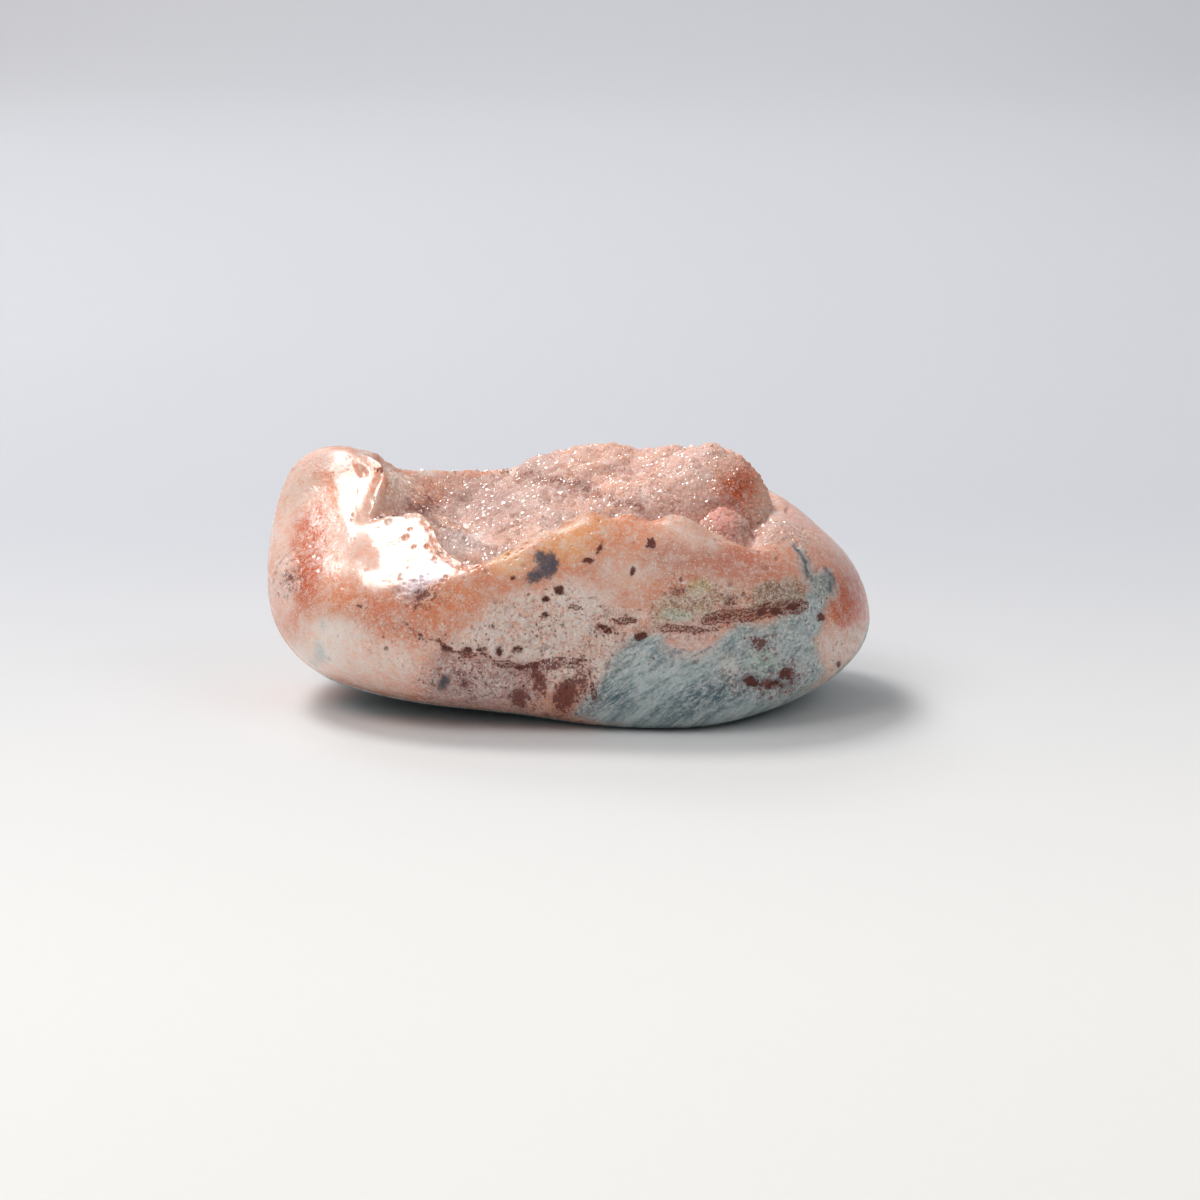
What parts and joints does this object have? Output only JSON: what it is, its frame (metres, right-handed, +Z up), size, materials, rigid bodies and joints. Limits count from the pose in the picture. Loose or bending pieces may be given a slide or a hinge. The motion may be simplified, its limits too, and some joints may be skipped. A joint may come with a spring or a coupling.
{
  "type": "pink amethyst cluster",
  "caption": "Polished, rounded pink quartz stone with a grey-green base and an open hollow on top that is lined with tiny sparkling crystals; it rests on its flat underside.",
  "frame": {"origin": "centre of the bounding box in plan, on the surface the stone rests on", "axes": "+X along the length to the viewer's right, +Y away from the viewer, +Z up"},
  "size_m": [0.075, 0.0494, 0.0309],
  "materials": {
    "stone_body": "polished",
    "crystal_crust": "sparkling, ungroomed crystal faces"
  },
  "bodies": {
    "root": {"stone_body": "stone_body", "crystal_crust": "crystal_crust"}
  },
  "joints": []
}
